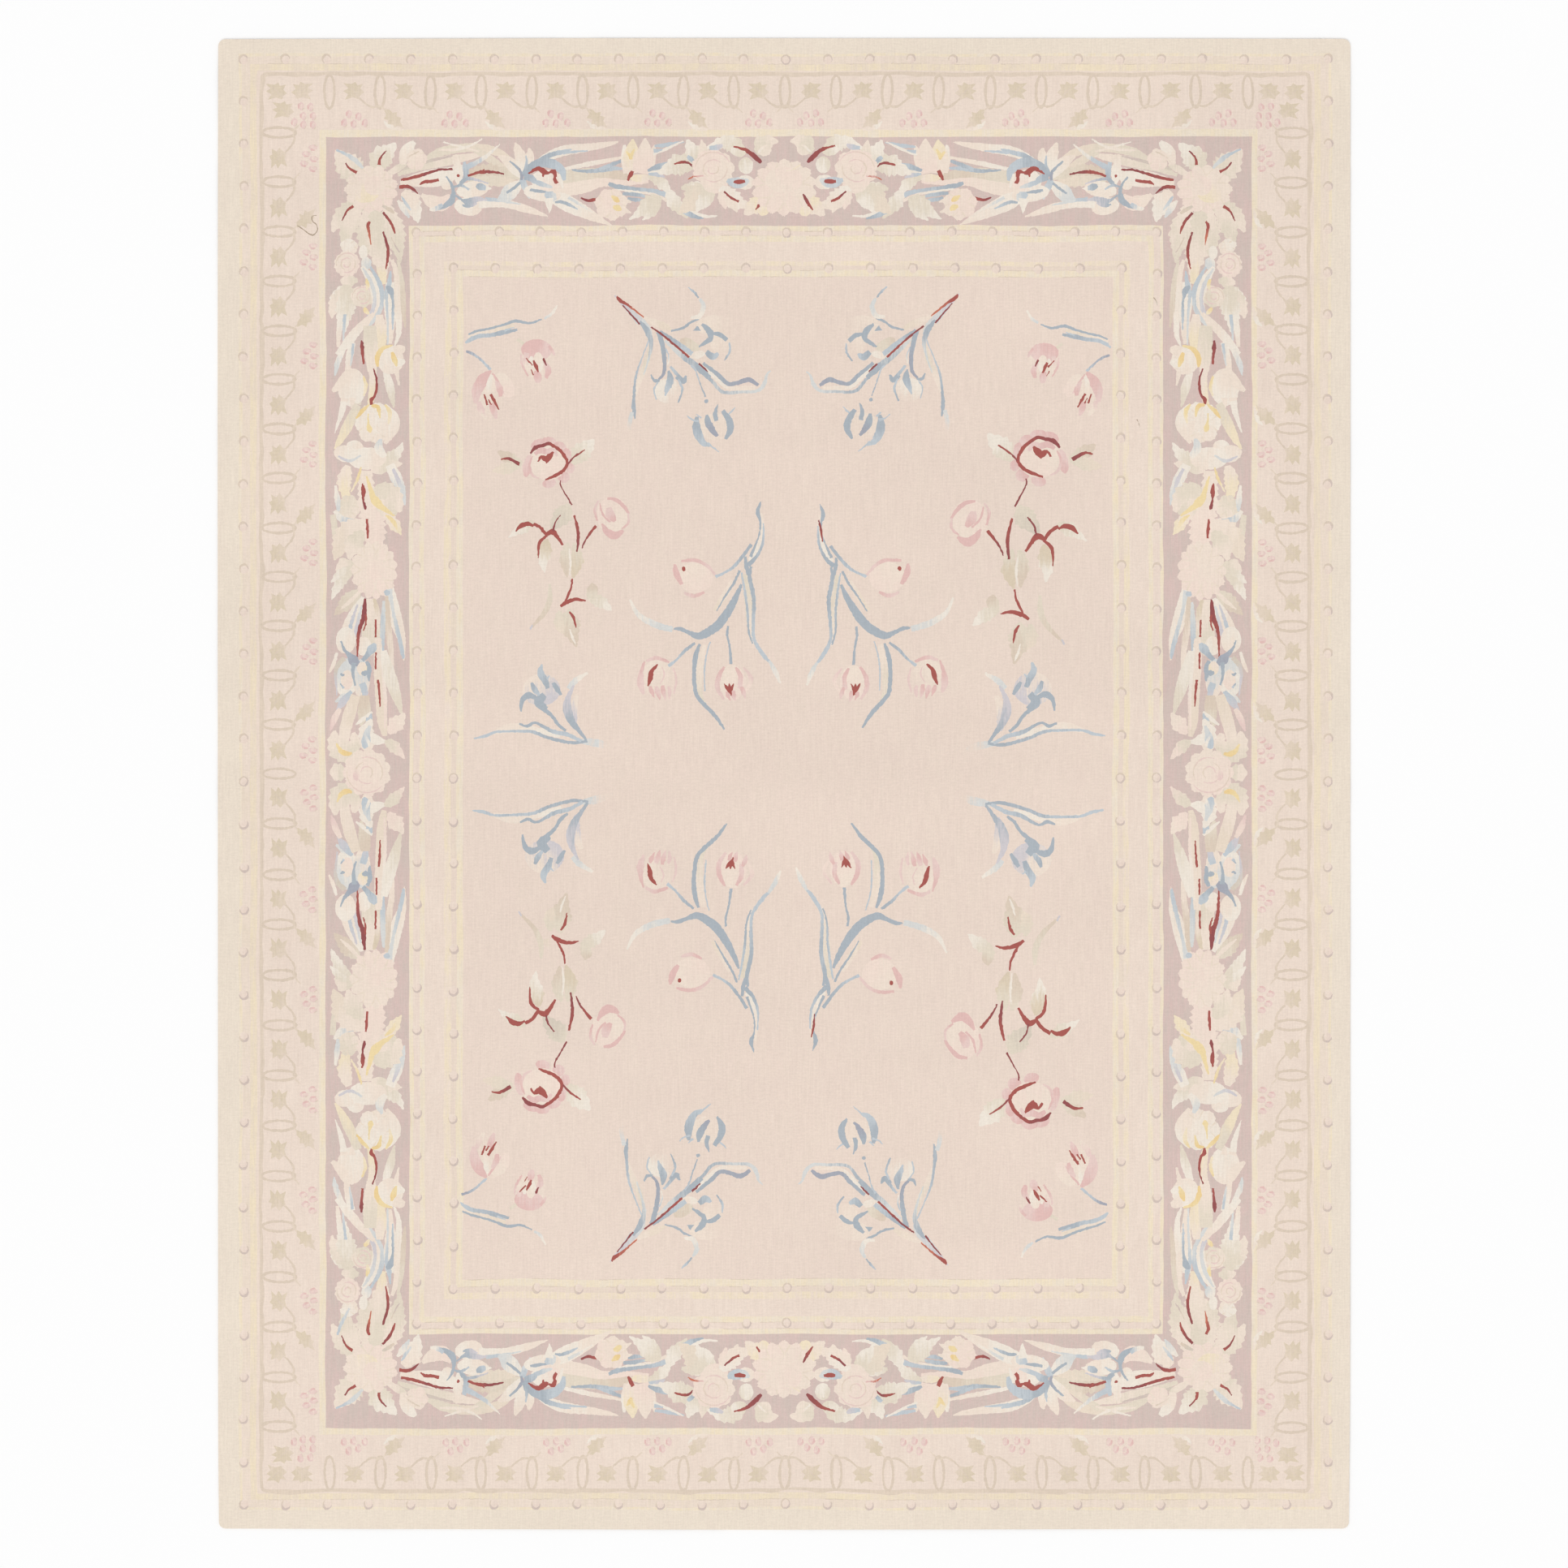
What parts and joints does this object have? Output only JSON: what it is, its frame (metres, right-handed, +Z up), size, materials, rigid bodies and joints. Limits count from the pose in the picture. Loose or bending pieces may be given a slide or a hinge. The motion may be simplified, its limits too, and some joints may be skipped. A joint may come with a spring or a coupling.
{
  "type": "aubusson rug",
  "caption": "Large flat-woven wool area rug lying flat, with a flower border on a mauve ground, pale guard stripes and a peach field of scattered flower sprays.",
  "frame": {"origin": "middle of the underside, on the floor", "axes": "+X across the rug's width, +Y along its length, +Z up out of its face"},
  "size_m": [2.7442, 3.6138, 0.003],
  "materials": {
    "wool": "matt handwoven wool tapestry weave, fine ribs along the warps"
  },
  "bodies": {
    "root": {"rug": "wool"}
  },
  "joints": []
}
